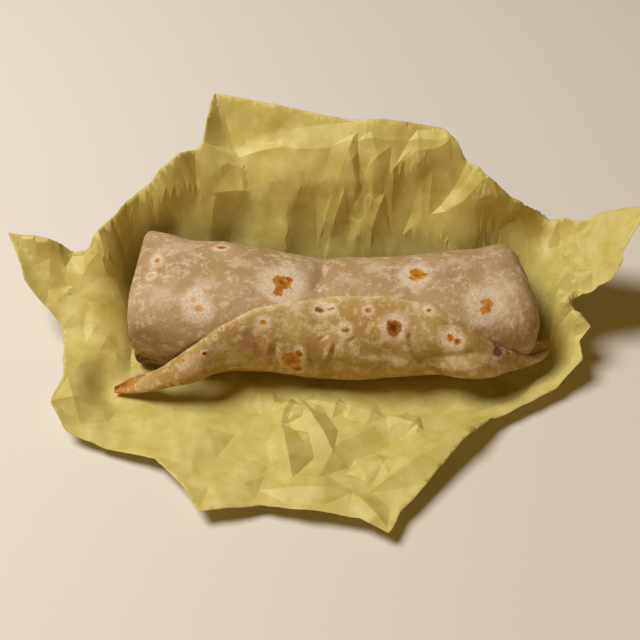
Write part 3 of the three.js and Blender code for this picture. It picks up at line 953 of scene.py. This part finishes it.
def facet_net(spacing, seed):
    """Corners, edges and heights (-1 to 1) of a random faceted surface."""
    random = np.random.default_rng(seed)
    grid = scattered(random, 190, 150, spacing, 0.42)
    grid = [Vector(p) for p in grid]
    corners, edges, triangles, *_ = geometry.delaunay_2d_cdt(grid, [], [], 0, 1e-4)
    heights = random.uniform(-1, 1, len(corners))
    solid = [Vector((*corner, height)) for corner, height in zip(corners, heights)]
    return np.array(corners), edges, BVHTree.FromPolygons(solid, triangles)


# how high the corners rise; the net, from a facet's size and a seed
FACETS = [(0.8, facet_net(34, 41)), (0.3, facet_net(14, 43))]


def crumple(x, y):
    """Soft waves, and the nets' heights found by looking straight down on each from above."""
    down = Vector((0, 0, -1))
    total = 3.2 * noise(np.column_stack([x, y, np.zeros(len(x))]), 42, 46)
    for rise, (_, _, net) in FACETS:
        total += [rise * net.ray_cast(Vector((a, b, 9)), down)[0].z for a, b in zip(x, y)]
    return total

# %% [markdown]
# ### The sheet
#
# A crease only looks crisp if an edge of the mesh runs along it. So all crease lines and
# facet edges go into a constrained triangulation, which fills the outline with triangles
# and keeps every one of those lines as an edge. The heights are added after it.

# %% Lines of the net
FILL = 2.0  # distance between the mesh's points
PAPER = 0.25  # thickness


def clipped(start, end, steps=40):
    """The stretch of a line that lies inside the sheet, or None."""
    t = np.linspace(0, 1, steps)[:, None]
    points = np.asarray(start) * (1 - t) + np.asarray(end) * t
    within = np.flatnonzero(margin(points) > 0.5)
    if len(within) < 2:
        return None
    return points[within[0]], points[within[-1]]


def crease_lines():
    """The edges between the flat faces of every crease."""
    for x0, y0, x1, y1, rise, left, right in CREASES:
        start, end = np.array([x0, y0], float), np.array([x1, y1], float)
        along = end - start
        side = np.array([-along[1], along[0]]) / np.linalg.norm(along)
        near, far = start + along * RUN_OUT, end - along * RUN_OUT
        yield start, end
        for shift in (side * left, -side * right):
            corners = [start, near + shift, far + shift, end]
            yield from zip(corners, corners[1:])
            yield near, near + shift
            yield far, far + shift


def net_lines():
    lines = list(crease_lines())
    for _, (corners, edges, _) in FACETS:
        lines += [(corners[a], corners[b]) for a, b in edges]
    clips = [clipped(a, b) for a, b in lines]
    return [clip for clip in clips if clip is not None]


def split(start, end):
    """A line as points about one fill spacing apart, so that it can follow a curved wall."""
    count = max(2, int(np.linalg.norm(end - start) / FILL) + 1)
    t = np.linspace(0, 1, count)[:, None]
    return start * (1 - t) + end * t

# %% Heights of the sheet
def clear_of_tips(x, y):
    """0 under the two tips of the flap, which hold the paper down, 1 away from them."""
    flat = np.column_stack([x, y, np.zeros(len(x))])
    left, _ = distance_to_path(flat, [(-88, -20, 0), (-108, -31, 0)])
    right, _ = distance_to_path(flat, [(90, -14, 0), (108, -13, 0)])
    return smoothstep(left, 4, 20) * (0.35 + 0.65 * smoothstep(right, 6, 16))


def free_of_burrito(points):
    """0 where the paper touches the burrito, which holds it still, 1 well away from it."""
    gap = np.array([skin.find_nearest(Vector(point) * MM)[3] for point in points]) / MM
    return smoothstep(gap, 1, 8) * clear_of_tips(points[:, 0], points[:, 1])


def sheet_height(x, y):
    """Height of the paper: the pushed-up walls, the creases and the crumples."""
    back = y / np.maximum(np.hypot(x, y), 1)
    climb = 0.85 - np.where(back > 0, 0.2, 0.4) * back
    across, rim_z = outward(x, y)
    start = 0.03
    low, high = start**climb, (1 + start) ** climb
    share = ((np.clip(across, 0, 1) + start) ** climb - low) / (high - low)
    walls = rim_z * share
    walls = walls * (1 - (1 - clear_of_tips(x, y)) * (1 - smoothstep(across, 0.35, 0.9)))
    smooth_sheet = np.column_stack([x, y, walls])
    busy = 0.15 + 0.7 * smoothstep(walls, 12, 60) + 0.15 * noise(smooth_sheet, 45, 44)
    busy = busy * (0.3 + 0.7 * smoothstep(across, 0.2, 0.7))
    small = crease_height(x, y) + crumple(x, y) * busy + 1.2
    free = free_of_burrito(smooth_sheet)
    return np.maximum(0, walls + small * free * smoothstep(across, -0.3, 0.1))

# %% Points between the lines
def fill_points(lines):
    """Points between the lines and round the foot, so that the smooth parts can bend."""
    grid = scattered(np.random.default_rng(45), 170, 130, FILL, 0.2)
    turn = np.linspace(0, 2 * np.pi, 360, endpoint=False)
    bend = np.column_stack([np.cos(turn), np.sin(turn)])
    rings = [bend * (foot_reach(turn) + step)[:, None] for step in (0, 1.2, 2.8)]
    grid = np.concatenate([grid, *rings])
    grid = grid[margin(grid) > 0.8]
    clear = np.ones(len(grid), bool)
    for start, end in lines:
        way = end - start
        t = np.clip((grid - start) @ way / max(way @ way, 1e-6), 0, 1)
        clear &= np.linalg.norm(grid - start - t[:, None] * way, axis=1) > 0.35 * FILL
    return grid[clear]

# %% The sheet as a mesh
def merge_close(thing, distance):
    """Points nearer than `distance` become one, so that no sliver or loose fin is left."""
    form = bmesh.new()
    form.from_mesh(thing.data)
    bmesh.ops.remove_doubles(form, verts=form.verts, dist=distance * MM)
    bmesh.ops.dissolve_degenerate(form, dist=0.5 * distance * MM, edges=form.edges)
    bmesh.ops.triangulate(form, faces=form.faces)
    crowded = [edge for edge in form.edges if len(edge.link_faces) > 2]
    fins = {f for edge in crowded for f in edge.link_faces if any(e.is_boundary for e in f.edges)}
    bmesh.ops.delete(form, geom=list(fins), context="FACES")
    bmesh.ops.recalc_face_normals(form, faces=form.faces)
    if sum(face.normal.z * face.calc_area() for face in form.faces) < 0:  # upper side down
        bmesh.ops.reverse_faces(form, faces=form.faces)
    form.to_mesh(thing.data)
    form.free()


def make_sheet():
    """The flat outline filled with triangles that keep every line, then lifted to its height."""
    lines = net_lines()
    outline = [(i, (i + 1) % len(rim)) for i in range(len(rim))]
    points = list(rim[:, :2])
    steps = []
    for start, end in lines:
        chain = split(start, end)
        steps += [(len(points) + k, len(points) + k + 1) for k in range(len(chain) - 1)]
        points += list(chain)
    points += list(fill_points(lines))
    flat, _, triangles, *_ = geometry.delaunay_2d_cdt(
        [Vector(p) for p in points], outline + steps, [], 0, 0.02
    )
    flat = np.array(flat)
    triangles = np.array(triangles)
    triangles = triangles[margin(flat[triangles].mean(axis=1)) > 0]
    used = np.unique(triangles)
    place = np.zeros(len(flat), int)
    place[used] = np.arange(len(used))
    flat = flat[used]
    height = sheet_height(flat[:, 0], flat[:, 1])
    thing = make_mesh("paper", np.column_stack([flat, height]), place[triangles].tolist())
    merge_close(thing, 0.4)
    return thing


sheet = make_sheet()
print("sheet", len(sheet.data.polygons), "faces")

# %% [markdown]
# ### Wandering folds
#
# Straight creases alone look like cut glass. Crumpled paper also has folds that wander and
# fork. They push the sheet along its own normals, so a standing wall folds as a flat part
# does. Where the burrito touches the paper it holds it still. Where a fold would double
# back on itself, its points move in between their neighbours.

# %% Folds and kinks
# size of a fold's cell; how far it pushes the sheet; seed
FOLDS = [(48, 8.0, 51), (26, 4.0, 52), (13, 1.7, 53), (6.5, 0.5, 54)]


def fold_over(points, normals):
    """Wandering folds: noise turned back at zero is sharp wherever it would cross zero."""
    bent = points + 4 * np.stack([noise(points, 18, seed) for seed in (55, 56, 57)], axis=1)
    level = np.abs(normals[:, 2])
    push = np.zeros(len(points))
    for size, rise, seed in FOLDS:
        steep_share = 1 if size > 20 else level
        push += rise * steep_share * (0.3 - np.abs(noise(bent * (1, 1, 0.7), size, seed)))
    free = free_of_burrito(points) * (0.35 + 0.65 * smoothstep(points[:, 2], 3, 30))
    free *= 0.25 + 0.75 * smoothstep(margin(points), 0, 14)
    moved = points + normals * (push * free)[:, None]
    moved[:, 2] = np.maximum(moved[:, 2], 0)
    return moved


def calm_kinks(thing, rounds=16, steepest=1.1):
    """Smooths the points of every edge at which the sheet turns by over `steepest` radians."""
    form = bmesh.new()
    form.from_mesh(thing.data)
    for _ in range(rounds):
        form.normal_update()
        kinks = [e for e in form.edges if e.is_manifold and e.calc_face_angle() > steepest]
        kinked = list({v for kink in kinks for face in kink.link_faces for v in face.verts})
        inside = [v for v in kinked if not v.is_boundary]
        bmesh.ops.smooth_vert(
            form, verts=inside, factor=0.5, use_axis_x=True, use_axis_y=True, use_axis_z=True
        )
    print("kinked edges left", len(kinks))
    form.to_mesh(thing.data)
    form.free()


move_points(sheet, fold_over(points_of(sheet), normals_of(sheet)))
calm_kinks(sheet)

# %% Crisp edges and thickness
CRISP = math.radians(14)  # edges that turn by more stay sharp
paper = sheet
paper.data.shade_smooth()
paper.data.set_sharp_from_angle(angle=CRISP)
thick = paper.modifiers.new("thickness", "SOLIDIFY")
thick.thickness = PAPER * MM
thick.offset = 1
print("paper", len(paper.data.polygons), "faces")

# %% [markdown]
# ### Waxed deli paper
#
# Thin, lightly waxed yellow paper: matt with a faint gloss along the folds, a bit cloudy
# because its fibres aren't even, and a little light comes through it.

# %% Paper material
def paper_material():
    material, tree = new_material("waxed_deli_paper")
    place = add(tree, "ShaderNodeTexCoord").outputs["Object"]
    cloud, fibre = (
        add(tree, NOISE, {"Vector": place, "Scale": PER_MM / mm, "Detail": fine, "Roughness": 0.6})
        for mm, fine in ((8, 4), (1.1, 3))
    )
    cloudy = add(tree, RANGE, {"Value": cloud, "From Min": 0.35, "From Max": 0.65})
    yellow, pale = linear("#c5b95e"), linear("#d2c97c")
    colour = add(tree, MIX, {0: cloudy, 1: yellow, 2: pale}, data_type="RGBA")
    height = add(tree, MATHS, {0: fibre, 1: 0.3, 2: cloud}, operation="MULTIPLY_ADD")
    bump = add(tree, "ShaderNodeBump", {"Height": height, "Strength": 0.35, "Distance": 0.3 * MM})
    looks = {"Base Color": colour, "Roughness": 0.58, "Normal": bump}
    shader = add(tree, PRINCIPLED, {**looks, "IOR": 1.45, "Specular IOR Level": 0.7})
    through = add(tree, "ShaderNodeBsdfTranslucent", {"Color": linear("#e6d24a")})
    mixed = add(tree, "ShaderNodeMixShader", {0: 0.1, 1: shader, 2: through})
    add(tree, SURFACE, {"Surface": mixed})
    return material


paper.data.materials.append(paper_material())
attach(paper, "root")
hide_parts("wrapper")

# %% [markdown]
# ## Floor and light
#
# A large soft key light hangs high on the left, so the front and the right wing of the
# paper shine and the wall behind the burrito is in half shade. A weak warm light from the
# front and a warm room stand for the light that the yellow paper throws back.

# %% Floor, lights and world
def make_floor():
    size = 3000
    corners = [(-size, -size, 0), (size, -size, 0), (size, size, 0), (-size, size, 0)]
    floor = make_mesh("floor", corners, [(0, 1, 2, 3)])
    material, tree = new_material("pale_floor")
    shader = add(tree, PRINCIPLED, {"Base Color": linear("#d8d5d0"), "Roughness": 0.8})
    add(tree, SURFACE, {"Surface": shader})
    floor.data.materials.append(material)


def area_light(name, place, size, power, colour):
    light = bpy.data.lights.new(name, "AREA")
    light.shape = "DISK"
    light.size = size
    light.energy = power
    light.color = linear(colour)[:3]
    lamp = bpy.data.objects.new(name, light)
    lamp.location = place
    lamp.rotation_euler = Vector(place).to_track_quat("Z", "Y").to_euler()
    bpy.context.collection.objects.link(lamp)


make_floor()
area_light("key", (-0.65, 0.1, 1.2), 0.65, 20.0, "#fff8f0")
area_light("fill", (0.1, -1.1, 0.4), 0.8, 2.1, "#ffcc70")
world = bpy.data.worlds.new("room")
world.use_nodes = True
glow = world.node_tree.nodes["Background"].inputs
glow["Color"].default_value = linear("#ffc848")
glow["Strength"].default_value = 0.11
bpy.context.scene.world = world
bpy.context.scene.view_settings.view_transform = "Standard"
